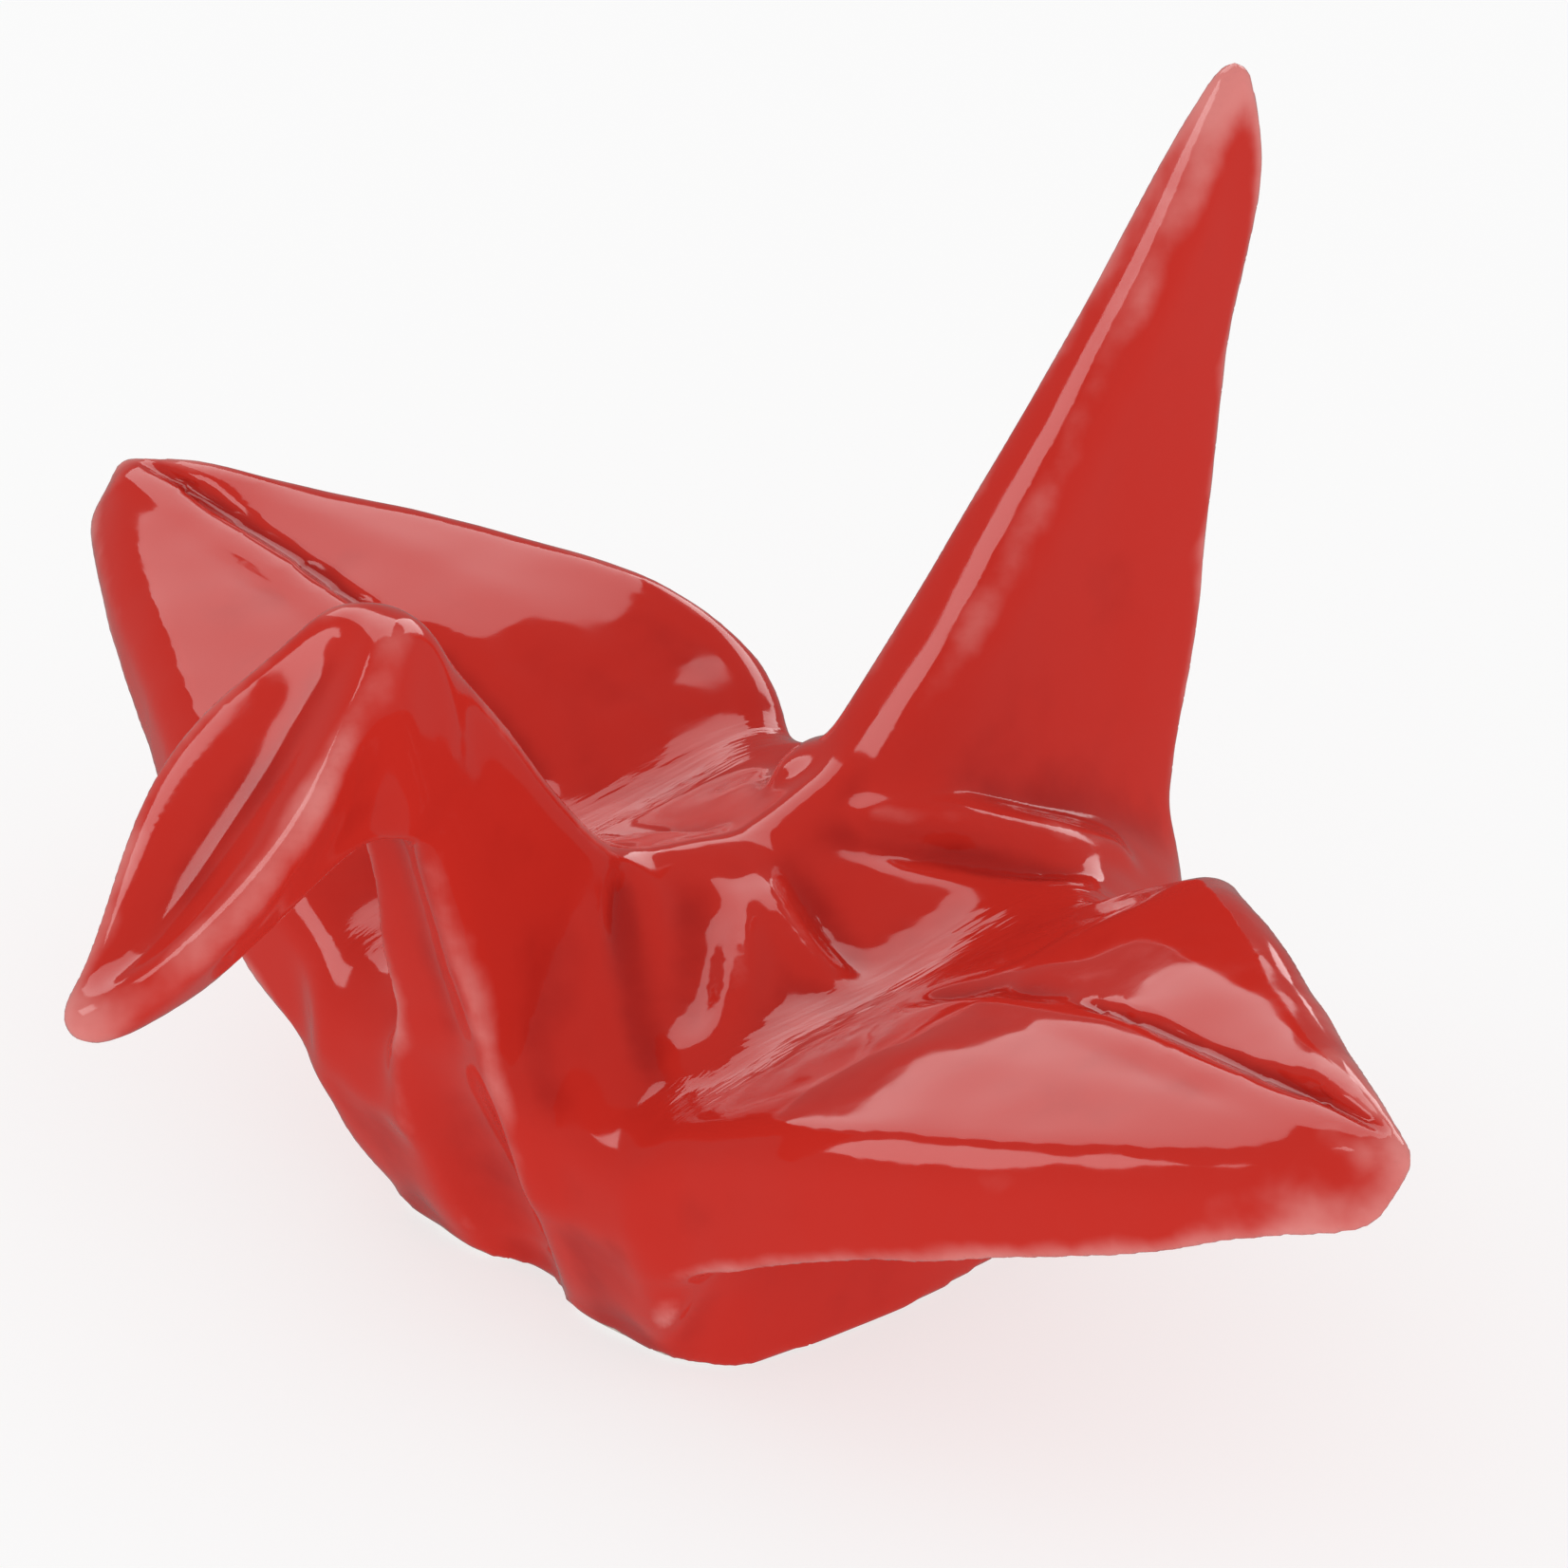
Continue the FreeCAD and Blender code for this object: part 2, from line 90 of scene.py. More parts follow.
def fair(places, values, at):
    """Smooth curve through the values, as a batten bends through nails."""
    slopes = np.gradient(values, places, axis=0)
    i = np.clip(np.searchsorted(places, at) - 1, 0, len(places) - 2)
    gap = (places[i + 1] - places[i]).reshape(-1, 1)
    t = np.clip((at - places[i]).reshape(-1, 1) / gap, 0, 1)
    rise, hold = t * t * (3 - 2 * t), t * (1 - t)
    return (values[i] * (1 - rise) + values[i + 1] * rise
            + gap * hold * ((1 - t) * slopes[i] - t * slopes[i + 1]))


def lofted(axis, stations):
    """Distance to a solid given by closed outlines across one axis.  Returns (where, distance)."""
    stations = sorted(stations, key=lambda s: s[0])
    places = np.array([s[0] for s in stations], float)
    outlines = np.array([s[1] for s in stations], float)
    others = [a for a in range(3) if a != axis]
    reach = [None] * 3
    lines = [None] * 3
    spans = {axis: (places[0], places[-1])}
    for k, a in enumerate(others):
        spans[a] = (outlines[..., k].min(), outlines[..., k].max())
    for a in range(3):
        keep = (block[a] >= spans[a][0] - REACH) & (block[a] <= spans[a][1] + REACH)
        found = np.nonzero(keep)[0]
        reach[a] = slice(found[0], found[-1] + 1)
        lines[a] = block[a][reach[a]]
    count = outlines.shape[1]
    at = np.clip(lines[axis], places[0], places[-1])
    bent = fair(places, outlines.reshape(len(places), -1), at)
    bent = bent.reshape(-1, count, 2).astype(np.float32)

    def spread(values, a):
        shape = [1, 1, 1]
        shape[a] = -1
        return values.reshape(shape)

    u, v, w = spread(lines[others[0]], others[0]), spread(lines[others[1]], others[1]), lines[axis]
    nearest, side = None, None
    for i in range(count):
        j = (i + 1) % count
        au, av = spread(bent[:, i, 0], axis), spread(bent[:, i, 1], axis)
        eu, ev = spread(bent[:, j, 0], axis) - au, spread(bent[:, j, 1], axis) - av
        pu, pv = u - au, v - av
        run = np.clip((pu * eu + pv * ev) / np.maximum(eu * eu + ev * ev, 1e-6), 0, 1)
        gap = (pu - eu * run) ** 2 + (pv - ev * run) ** 2
        above, below = pv >= 0, (v - av - ev) < 0
        left = eu * pv > ev * pu
        flip = (above & below & left) | (~above & ~below & ~left)
        nearest = gap if nearest is None else np.minimum(nearest, gap)
        side = flip if side is None else side ^ flip
    distance = np.sqrt(nearest) * np.where(side, -1.0, 1.0)
    ends = spread(np.maximum(places[0] - w, w - places[-1]), axis)
    distance = meet(distance, ends, 0.6)
    return tuple(reach), np.minimum(distance, REACH).astype(np.float32)


def meet(a, b, soft):
    """Where both solids are, with the edge between them softened."""
    return -join(-a, -b, soft)


def join(a, b, soft):
    """Both solids together, with the corner between them filled in."""
    share = np.clip(0.5 + 0.5 * (b - a) / soft, 0, 1)
    return b + (a - b) * share - soft * share * (1 - share)


def empty_block():
    return np.full([len(line) for line in block], REACH, np.float32)


def add(solid, piece, soft):
    where, distance = piece
    solid[where] = join(solid[where], distance, soft)


INSIDE = -4.0                                 # half outlines close past the middle plane
FAR_BLEND = 0.5                               # blend into the empty block, well outside the clay


def body_half(x, low_z, low_y, side_low, side_y, side_high, dip_y, dip_z, flank_y, flank_z, ridge_z):
    """One half cross-section of the body, from under it, up its side and over to the backbone."""
    if low_z <= 0:
        low_y -= (side_y - low_y) / (side_low - low_z) * (low_z - SUNK)
        low_z = SUNK
    return (x, [(INSIDE, low_z), (low_y, low_z), (side_y, side_low), (side_y, side_high),
                (dip_y, dip_z), (flank_y, flank_z), (0.0, ridge_z), (INSIDE, ridge_z)])


body_stations = [
    body_half(9.2, 5.6, 6.5, 6.4, 8.4, 7.6, 7.8, 8.0, 5.6, 8.3, 9.4),
    body_half(8.6, 4.4, 8.2, 5.6, 9.3, 8.5, 8.6, 8.8, 6.0, 9.0, 10.6),
    body_half(8.0, 2.7, 8.9, 5.0, 9.8, 9.0, 8.8, 9.3, 6.4, 9.5, 12.0),
    body_half(7.3, 1.3, 8.0, 4.6, 9.9, 9.3, 8.8, 9.7, 6.5, 9.8, 12.8),
    body_half(6.7, 0.4, 7.2, 4.4, 9.9, 9.5, 8.8, 10.0, 6.6, 10.1, 13.6),
    body_half(6.2, 0.0, 8.0, 4.3, 10.0, 9.6, 8.8, 10.1, 6.7, 10.2, 14.0),
    body_half(5.4, 0.0, 9.2, 4.3, 10.0, 9.7, 8.8, 10.3, 6.8, 10.4, 14.8),
    body_half(4.0, 0.0, 9.6, 4.5, 10.0, 9.8, 8.8, 10.6, 6.8, 10.8, 15.2),
    body_half(3.2, 0.0, 9.7, 4.8, 10.1, 9.9, 8.8, 10.8, 6.7, 11.0, 15.2),
    body_half(-1.0, 0.0, 9.8, 5.4, 10.2, 10.2, 8.8, 11.1, 6.6, 11.5, 14.6),
    body_half(-3.0, 0.0, 9.6, 5.8, 10.2, 10.6, 8.7, 11.3, 6.4, 11.8, 14.3),
    body_half(-6.5, 0.0, 8.9, 6.3, 10.1, 11.2, 8.6, 11.9, 6.2, 12.4, 15.4),
    body_half(-9.0, 0.3, 7.9, 6.8, 9.8, 11.8, 8.4, 12.4, 5.8, 12.7, 15.8),
    body_half(-12.0, 1.8, 6.4, 6.6, 8.6, 11.2, 7.0, 12.0, 4.4, 12.4, 13.8),
    body_half(-16.5, 3.8, 4.2, 6.4, 5.8, 8.6, 4.9, 9.8, 3.2, 10.9, 12.0),
    body_half(-20.0, 5.2, 2.0, 6.4, 3.0, 7.6, 2.6, 8.4, 1.9, 9.0, 10.0),
    body_half(-21.2, 5.7, 1.0, 6.4, 1.6, 7.2, 1.5, 7.8, 1.2, 8.4, 9.0),
]
clay_body = empty_block()
add(clay_body, lofted(0, body_stations), FAR_BLEND)

# ---------------------------------------------------------------- wings
# Each wing is a solid clay wedge from its own mould, with a crease down its middle.  Its root is
# scored, slipped and pressed on to the body's flat side.

def wing_outline(y, lead_x, lead_low, lead_high, crease_x, crease_z, trail_x, trail_high, trail_low):
    """Cross-section of the left wing.  Its long upper edges are rubbed down before it is fired."""
    nose, rim, crown = 0.95, 1.2, 0.3         # rubbed-down edges, and the swell of each half
    front_x, rear_x = lead_x - nose, trail_x + rim
    return (y, [(lead_x, lead_low), (lead_x, lead_high - nose * 1.1), (front_x, lead_high + 0.1),
                ((front_x + crease_x) / 2, (lead_high + crease_z) / 2 + crown), (crease_x, crease_z),
                ((rear_x + crease_x) / 2, (trail_high + crease_z) / 2 + crown),
                (rear_x, trail_high), (trail_x, trail_high - rim * 0.6),
                (trail_x + 0.2, trail_low), (crease_x, (lead_low + trail_low) / 2 + 0.4)])


wing_stations = [
    wing_outline(8.6, 8.9, 4.5, 9.5, -2.0, 11.2, -11.8, 12.2, 7.6),
    wing_outline(10.0, 8.5, 4.9, 10.3, -2.0, 12.1, -12.7, 13.1, 9.0),
    wing_outline(12.0, 8.3, 5.7, 11.2, -2.1, 13.2, -13.2, 14.1, 10.6),
    wing_outline(14.0, 8.1, 6.6, 11.9, -2.1, 14.2, -12.6, 15.3, 12.1),
    wing_outline(17.0, 7.5, 7.8, 12.7, -2.2, 15.1, -10.8, 16.4, 13.8),
    wing_outline(20.0, 6.5, 8.8, 13.3, -2.2, 15.6, -9.4, 16.7, 14.3),
    wing_outline(26.0, 3.9, 10.6, 14.5, -2.2, 16.1, -6.5, 16.9, 15.0),
    wing_outline(32.0, 1.0, 12.6, 15.4, -2.1, 16.6, -3.4, 17.2, 15.6),
    wing_outline(tip_y - 0.1, -0.6, 13.4, 15.5, -1.9, 16.4, -2.6, 16.7, 15.4),
]
clay_wing = empty_block()
add(clay_wing, lofted(1, wing_stations), FAR_BLEND)

# ---------------------------------------------------------------- neck and head
# Neck, head and beak are solid clay out of one mould, slipped on to the front of the body.  The neck
# is folded in down its front, and the head is an open hood that narrows to the beak.

def throat_half(z, nape_x, nape_y, ridge_x, ridge_y, fold_x):
    """One half of a level section through breast and neck; the front is folded in along its middle."""
    return (z, [(nape_x, INSIDE), (nape_x, nape_y), (ridge_x, ridge_y), (fold_x, 0.0), (fold_x, INSIDE)])


throat_stations = [
    throat_half(0.0, 2.0, 1.5, 6.2, 4.0, 5.5),
    throat_half(3.5, 2.0, 1.5, 7.7, 3.7, 6.9),
    throat_half(8.2, 2.0, 1.4, 9.8, 3.2, 8.7),
    throat_half(12.0, 2.4, 1.3, 11.1, 2.8, 10.0),
    throat_half(15.2, 3.4, 1.0, 11.9, 2.5, 10.9),
    throat_half(19.0, 6.0, 0.9, 12.8, 2.3, 12.0),
    throat_half(22.0, 8.0, 0.9, 13.6, 2.3, 13.2),
    throat_half(24.5, 9.9, 0.9, 13.9, 2.3, 13.8),
    throat_half(27.0, 12.0, 0.8, 13.6, 1.2, 13.6),
]
clay_neck = empty_block()
add(clay_neck, lofted(2, throat_stations), FAR_BLEND)


def head_half(x, chin_z, chin_y, ridge_y, ridge_z, hollow_z):
    """One half cross-section of the head: chin, rubbed-down edge, and one side of the open hood."""
    return (x, [(INSIDE, chin_z), (chin_y, chin_z + 0.3), (ridge_y, ridge_z - 1.0), (ridge_y * 0.85, ridge_z),
                (ridge_y * 0.45, (ridge_z + hollow_z) / 2 + 0.05), (0.0, hollow_z), (INSIDE, hollow_z)])


NECK_FILLET = 2.4                             # clay worked in where the neck meets head and body
head_stations = [
    head_half(11.8, 21.6, 1.3, 1.1, 25.9, 26.0),
    head_half(13.2, 20.3, 1.7, 1.8, 26.6, 26.5),
    head_half(15.5, 19.2, 1.5, 2.9, 25.9, 24.6),
    head_half(18.0, 17.6, 1.3, 3.9, 23.9, 22.0),
    head_half(19.6, 16.6, 1.1, 3.9, 22.3, 20.4),
    head_half(22.0, 15.6, 0.9, 3.0, 19.8, 18.2),
    head_half(24.2, 15.2, 0.8, 1.7, 17.8, 17.1),
    head_half(25.4, 15.2, 0.7, 1.1, 17.0, 16.8),
    head_half(nose_x - 0.2, 15.4, 0.5, 0.6, 16.6, 16.5),
]
add(clay_neck, lofted(0, head_stations), NECK_FILLET)

# ---------------------------------------------------------------- tail
# The tail is a solid clay blade that leans back from the body, thickest near its front edge.  It
# comes from its own mould and is slipped on to the back of the body.

def tail_half(z, front_x, keel_x, keel_y, back_x, back_y):
    """One half of a level section through the tail, rounded in front and flat behind its keel."""
    nose = (front_x - keel_x) * 0.35
    return (z, [(front_x, INSIDE), (front_x, keel_y * 0.15), (front_x - keel_y * 0.08, keel_y * 0.65),
                (front_x - nose, keel_y * 0.92), (keel_x, keel_y), (back_x, back_y), (back_x, INSIDE)])


tail_stations = [
    tail_half(5.6, -12.0, -16.0, 2.4, -20.7, 0.7),
    tail_half(9.0, -6.4, -10.5, 3.6, -21.3, 0.8),
    tail_half(12.5, -6.1, -9.3, 3.1, -22.0, 0.8),
    tail_half(16.2, -7.9, -10.2, 2.2, -22.8, 0.8),
    tail_half(21.6, -12.6, -14.5, 1.9, -23.5, 0.75),
    tail_half(27.1, -17.0, -18.6, 1.6, -24.3, 0.7),
    tail_half(33.2, -21.5, -22.6, 1.2, rear_x + 0.5, 0.6),
    tail_half(top_z - 0.1, -24.2, -24.6, 0.5, rear_x + 1.1, 0.35),
]
clay_tail = empty_block()
add(clay_tail, lofted(2, tail_stations), FAR_BLEND)

# ---------------------------------------------------------------- folds and creases
# While the clay is leather hard, the pieces are blended together with a wet brush, and the folds of
# the paper crane are pressed in and pinched up with a wooden tool.

def over_middle(half):
    """The left half, with the cells past the middle plane filled in as its mirror image."""
    first = int(np.argmin(np.abs(block[1])))
    half = half.copy()
    half[:, :first] = half[:, 2 * first:first:-1]
    return half


def soften(solid, radius):
    """Rounds edges and fills corners evenly."""
    wide = max(1, math.ceil(radius * 2.5 / CELL))
    steps = np.arange(-wide, wide + 1) * CELL
    weights = np.exp(-0.5 * (steps / radius) ** 2)
    weights /= weights.sum()
    for axis in range(3):
        padded = np.pad(solid, [(wide, wide) if a == axis else (0, 0) for a in range(3)], mode="edge")
        total = np.zeros_like(solid)
        for k, weight in enumerate(weights):
            cut = [slice(None)] * 3
            cut[axis] = slice(k, k + solid.shape[axis])
            total += np.float32(weight) * padded[tuple(cut)]
        solid = total
    return solid


NECK_RUBBED = 0.35                            # how far the sponge rounds the neck on its own
FIGURE_RUBBED = 0.36                          # and the whole figure, once it is together
TAIL_FILLET = 1.2
WING_FILLET = 1.1
figure = join(clay_body, soften(over_middle(clay_neck), NECK_RUBBED), NECK_FILLET)
figure = join(figure, clay_tail, TAIL_FILLET)
figure = join(figure, clay_wing, WING_FILLET)


def cord_along(points, radius):
    """Distance to a round cord that follows the points and thins out towards both ends."""
    points = np.array(points, float)
    low, high = points.min(axis=0) - radius - REACH, points.max(axis=0) + radius + REACH
    reach = []
    for a in range(3):
        found = np.nonzero((block[a] >= low[a]) & (block[a] <= high[a]))[0]
        reach.append(slice(found[0], found[-1] + 1))
    place = np.stack(np.meshgrid(*(block[a][reach[a]] for a in range(3)), indexing="ij"), axis=-1)
    lengths = np.linalg.norm(np.diff(points, axis=0), axis=1)
    starts = np.concatenate([[0], np.cumsum(lengths)])
    nearest = np.full(place.shape[:3], np.inf, np.float32)
    for i in range(len(points) - 1):
        run = points[i + 1] - points[i]
        t = np.clip(((place - points[i]) @ run) / (run @ run), 0, 1)
        gap = np.linalg.norm(place - points[i] - t[..., None] * run, axis=-1)
        along = (starts[i] + t * lengths[i]) / starts[-1]
        thin = 0.35 * radius * np.abs(2 * along - 1) ** 3
        nearest = np.minimum(nearest, gap + thin)
    return tuple(reach), (nearest - radius).astype(np.float32)


UP = np.array([0.0, 0.0, 1.0])
FORWARD = np.array([1.0, 0.0, 0.0])


def press(points, width, deep, soft=0.35, away=UP):
    """Presses a groove into the figure along points on its surface."""
    radius = (width * width / 4 + deep * deep) / (2 * deep)
    where, cord = cord_along(np.array(points) + away * (radius - deep), radius)
    figure[where] = meet(figure[where], -cord, soft)


def pinch(points, width, proud, soft=0.7, away=UP):
    """Pinches a low ridge up along points on its surface."""
    radius = (width * width / 4 + proud * proud) / (2 * proud)
    where, cord = cord_along(np.array(points) - away * (radius - proud), radius)
    figure[where] = join(figure[where], cord, soft)


# Three folds fan out from the backbone down each flank.
pinch([(0.6, 2.2, 13.9), (2.6, 3.6, 13.0), (5.0, 5.9, 11.4)], 1.8, 0.4)
pinch([(-0.6, 2.6, 13.5), (2.0, 4.8, 12.3), (4.4, 6.9, 10.9)], 1.8, 0.4)
pinch([(-1.8, 2.6, 13.4), (-1.4, 4.6, 12.5), (-1.2, 6.3, 11.8)], 1.4, 0.35)
press([(3.6, 1.6, 14.4), (4.4, 3.0, 13.3), (5.7, 4.9, 11.7), (6.6, 6.6, 10.3)], 1.9, 0.6)
press([(0.4, 2.0, 13.8), (2.2, 3.6, 13.0), (5.2, 6.5, 10.9)], 1.7, 0.3)
press([(-3.2, 2.0, 13.8), (-2.7, 4.3, 12.7), (-2.3, 6.4, 11.8)], 1.5, 0.5)
# The tail stands in a fold of its own.
press([(-4.4, 1.6, 14.3), (-5.8, 2.9, 14.0), (-7.5, 4.2, 13.5), (-10.5, 5.7, 12.6), (-13.2, 6.0, 11.6)],
      1.5, 0.45)
pinch([(-6.6, 2.2, 14.9), (-8.9, 3.2, 14.3), (-12.5, 3.9, 12.7), (-16.0, 3.7, 11.1)], 1.7, 0.45)
# The wing's crease starts as a wide soft groove near its root.
press([(-2.2, 10.5, 12.1), (-2.2, 14.0, 14.2), (-2.1, 18.0, 15.3)], 1.5, 0.4)
figure = soften(over_middle(figure), FIGURE_RUBBED)
# Crease down the middle of each wing, with the lip that the tool leaves in front of it.
pinch([(-1.0, 15.0, 14.4), (-1.3, 24.0, 15.9), (-1.5, 33.0, 16.5)], 1.1, 0.16, 0.4)
press([(-2.0, 17.0, 15.1), (-2.1, 24.0, 16.0), (-2.0, 33.2, 16.6)], 0.6, 0.24, 0.12)
# The fold down the front of the neck runs on down the breast into the foot.
press([(6.5, 0.0, -2.0), (6.5, 0.0, 0.3), (8.0, 0.0, 3.5), (10.3, 0.0, 8.2), (12.0, 0.0, 12.0)],
      4.6, 0.8, 0.6, FORWARD)


def whole(half):
    """The left half and its mirror image."""
    first = int(np.argmin(np.abs(block[1])))
    left = half[:, first:, :]
    return np.concatenate([left[:, :0:-1, :], left], axis=1)


figure = whole(figure)
full_y = np.arange(figure.shape[1]) * CELL - (figure.shape[1] // 2) * CELL
length_way = block[0].reshape(-1, 1, 1)
span_way = full_y.reshape(1, -1, 1).astype(np.float32)
height_way = block[2].reshape(1, 1, -1)

# Pressed and brushed by hand: nothing is quite flat, and the two halves are not quite alike.
for wave, swell, turn in ((9.0, 0.035, 0.4), (5.2, 0.015, 1.7), (2.9, 0.006, 2.9)):
    k = 2 * math.pi / wave
    figure += np.float32(swell) * (np.sin(k * length_way + turn) * np.sin(k * 0.9 * span_way + 2 * turn)
                                   + np.sin(k * 0.8 * height_way + 3 * turn) * np.sin(k * span_way - turn))

# ---------------------------------------------------------------- clay pieces
# White casting clay.  The body is hollow, with a vent in its foot; the wings, the neck with its head
# and the tail are solid.  Each is stuck on with a thin layer of slip between two flat scored faces.

SLIP = 0.3
SIDE_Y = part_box("left_wing_slip_seam")[0][1] / MM
NECK_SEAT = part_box("neck_slip_seam")[0][2] / MM
TAIL_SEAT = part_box("tail_slip_seam")[0][2] / MM
TAIL_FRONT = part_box("tail")[1][0] / MM
WALL = 2.2
VENT_X, VENT_BORE = -1.0, 4.0
HOLLOW_BACK = -14.0                           # the hollow stops here, under the tail
NECK_BACK, NECK_HALF = 0.4, 3.0               # back end and half width of the neck's seat
TAIL_HALF = 3.2                               # half width of the tail's seat
ARRIS = 0.2                                   # softness of the edge round the foot
side_of = np.abs(span_way)
clay = meet(figure + np.float32(GLAZE), -height_way, ARRIS)


def within(*distances):
    """Inside all of them at once."""
    result = distances[0]
    for distance in distances[1:]:
        result = np.maximum(result, distance)
    return result.astype(np.float32)


neck_column = within(NECK_BACK - length_way, side_of - NECK_HALF)
tail_column = within(length_way - TAIL_FRONT, side_of - TAIL_HALF)
hollow = within(figure + GLAZE + WALL, WALL - height_way, side_of - SIDE_Y + WALL,
                height_way - TAIL_SEAT, HOLLOW_BACK - length_way)
vent = within(np.hypot(length_way - VENT_X, span_way) - VENT_BORE / 2, height_way - WALL * 1.5)
clay_parts = {
    "left_wing_clay": within(clay, SIDE_Y + SLIP - span_way),
    "right_wing_clay": within(clay, SIDE_Y + SLIP + span_way),
    "neck_and_head_clay": within(clay, neck_column, NECK_SEAT + SLIP - height_way),
    "tail_clay": within(clay, tail_column, TAIL_SEAT + SLIP - height_way),
    "body_shell_clay": within(clay, side_of - SIDE_Y, -hollow, -vent,
                              -within(neck_column, NECK_SEAT - height_way),
                              -within(tail_column, TAIL_SEAT - height_way)),
}
slip_parts = {
    "left_wing_slip": within(clay, np.abs(span_way - SIDE_Y - SLIP / 2) - SLIP / 2),
    "right_wing_slip": within(clay, np.abs(span_way + SIDE_Y + SLIP / 2) - SLIP / 2),
    "neck_slip": within(clay, neck_column, np.abs(height_way - NECK_SEAT - SLIP / 2) - SLIP / 2),
    "tail_slip": within(clay, tail_column, np.abs(height_way - TAIL_SEAT - SLIP / 2) - SLIP / 2),
}


def skin(name, solid, every=1):
    """Mesh of a solid's surface, from every cell or every second one."""
    grid = openvdb.FloatGrid(REACH)
    grid.copyFromArray(np.ascontiguousarray(solid[::every, ::every, ::every], dtype=np.float32))
    points, quads = grid.convertToQuads(0.0)
    points = (points * CELL * every + np.array([block[0][0], full_y[0], block[2][0]])) * MM
    mesh = bpy.data.meshes.new(name)
    mesh.from_pydata(points.tolist(), [], quads.tolist())
    mesh.update()
    mesh.polygons.foreach_set("use_smooth", [True] * len(mesh.polygons))
    piece = bpy.data.objects.new(name, mesh)
    bpy.context.scene.collection.objects.link(piece)
    return piece


def clay_grain_group():
    """Fine grain and faint staining of unglazed clay."""
    group = bpy.data.node_groups.new("clay_grain", "ShaderNodeTree")
    for name, kind, value in (("Clay Colour", "NodeSocketColor", (0.8, 0.8, 0.8, 1)),
                              ("Stain Colour", "NodeSocketColor", (0.6, 0.5, 0.4, 1)),
                              ("Grain Size", "NodeSocketFloat", 0.0004)):
        socket = group.interface.new_socket(name, in_out="INPUT", socket_type=kind)
        socket.default_value = value
    group.interface.new_socket("Colour", in_out="OUTPUT", socket_type="NodeSocketColor")
    group.interface.new_socket("Grain", in_out="OUTPUT", socket_type="NodeSocketFloat")
    nodes, links = group.nodes, group.links
    entry, result = nodes.new("NodeGroupInput"), nodes.new("NodeGroupOutput")
    place = nodes.new("ShaderNodeTexCoord")
    scale = nodes.new("ShaderNodeMath")
    scale.operation = "DIVIDE"
    scale.inputs[0].default_value = 1.0
    links.new(entry.outputs["Grain Size"], scale.inputs[1])
    grain = nodes.new("ShaderNodeTexNoise")
    grain.inputs["Detail"].default_value = 4
    links.new(place.outputs["Object"], grain.inputs["Vector"])
    links.new(scale.outputs[0], grain.inputs["Scale"])
    stain = nodes.new("ShaderNodeTexNoise")
    stain.inputs["Scale"].default_value = 260
    stain.inputs["Detail"].default_value = 3
    links.new(place.outputs["Object"], stain.inputs["Vector"])
    spread = nodes.new("ShaderNodeMapRange")
    spread.inputs["From Min"].default_value = 0.45
    spread.inputs["From Max"].default_value = 0.75
    links.new(stain.outputs["Fac"], spread.inputs["Value"])
    mix = nodes.new("ShaderNodeMix")
    mix.data_type = "RGBA"
    links.new(spread.outputs["Result"], mix.inputs["Factor"])
    links.new(entry.outputs["Clay Colour"], mix.inputs["A"])
    links.new(entry.outputs["Stain Colour"], mix.inputs["B"])
    links.new(mix.outputs["Result"], result.inputs["Colour"])
    links.new(grain.outputs["Fac"], result.inputs["Grain"])
    return group


clay_grain = clay_grain_group()


def unglazed(name, colour, stain, grain_size, rough, relief):
    material = bpy.data.materials.new(name)
    material.use_nodes = True
    nodes, links = material.node_tree.nodes, material.node_tree.links
    shader = nodes["Principled BSDF"]
    shader.inputs["Roughness"].default_value = rough
    grain = nodes.new("ShaderNodeGroup")
    grain.node_tree = clay_grain
    grain.inputs["Clay Colour"].default_value = colour
    grain.inputs["Stain Colour"].default_value = stain
    grain.inputs["Grain Size"].default_value = grain_size
    links.new(grain.outputs["Colour"], shader.inputs["Base Color"])
    bump = nodes.new("ShaderNodeBump")
    bump.inputs["Strength"].default_value = 0.5
    bump.inputs["Distance"].default_value = relief
    links.new(grain.outputs["Grain"], bump.inputs["Height"])
    links.new(bump.outputs["Normal"], shader.inputs["Normal"])
    return material


bisque = unglazed("fired_clay", (0.62, 0.56, 0.50, 1), (0.46, 0.34, 0.28, 1), 0.0004, 0.85, 0.00006)
dried_slip = unglazed("fired_slip", (0.68, 0.63, 0.57, 1), (0.55, 0.44, 0.37, 1), 0.0007, 0.9, 0.00003)

stands_for = {"body_shell_clay": "body_shell", "neck_and_head_clay": "neck_and_head", "tail_clay": "tail",
              "left_wing_clay": "left_wing", "right_wing_clay": "right_wing",
              "left_wing_slip": "left_wing_slip_seam", "right_wing_slip": "right_wing_slip_seam",
              "neck_slip": "neck_slip_seam", "tail_slip": "tail_slip_seam"}
fired_parts = ((clay_parts, bisque, "clay_body", 2),
               (slip_parts, dried_slip, "joining_slip", 1))
for parts, material, slot, every in fired_parts:
    for name, solid in parts.items():
        piece = skin(name, solid, 1 if name == "body_shell_clay" else every)
        piece.data.materials.append(material)
        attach(piece, "root")
        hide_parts(stands_for[name])

# ---------------------------------------------------------------- glaze coat
# The whole figure is dipped in red gloss glaze, and its foot is wiped bare.  Over sharp edges the colour is
# painted pale, partly thin glaze and partly a painted highlight; in the folds it is painted deeper red,
# partly pooled glaze and partly painted shade.

glaze_coat = skin("glaze_coat_skin", meet(figure, BARE_FOOT - height_way, ARRIS))
clay_inside = skin("clay_inside", figure + np.float32(GLAZE), 2)
cut = glaze_coat.modifiers.new("over_the_clay", "BOOLEAN")
cut.operation = "DIFFERENCE"
cut.object = clay_inside
cut.solver = "MANIFOLD"
cut_state = bpy.context.evaluated_depsgraph_get()
shell = bpy.data.meshes.new_from_object(glaze_coat.evaluated_get(cut_state))
glaze_coat.modifiers.clear()
glaze_coat.data = shell
bpy.data.objects.remove(clay_inside)
shell.polygons.foreach_set("use_smooth", [True] * len(shell.polygons))

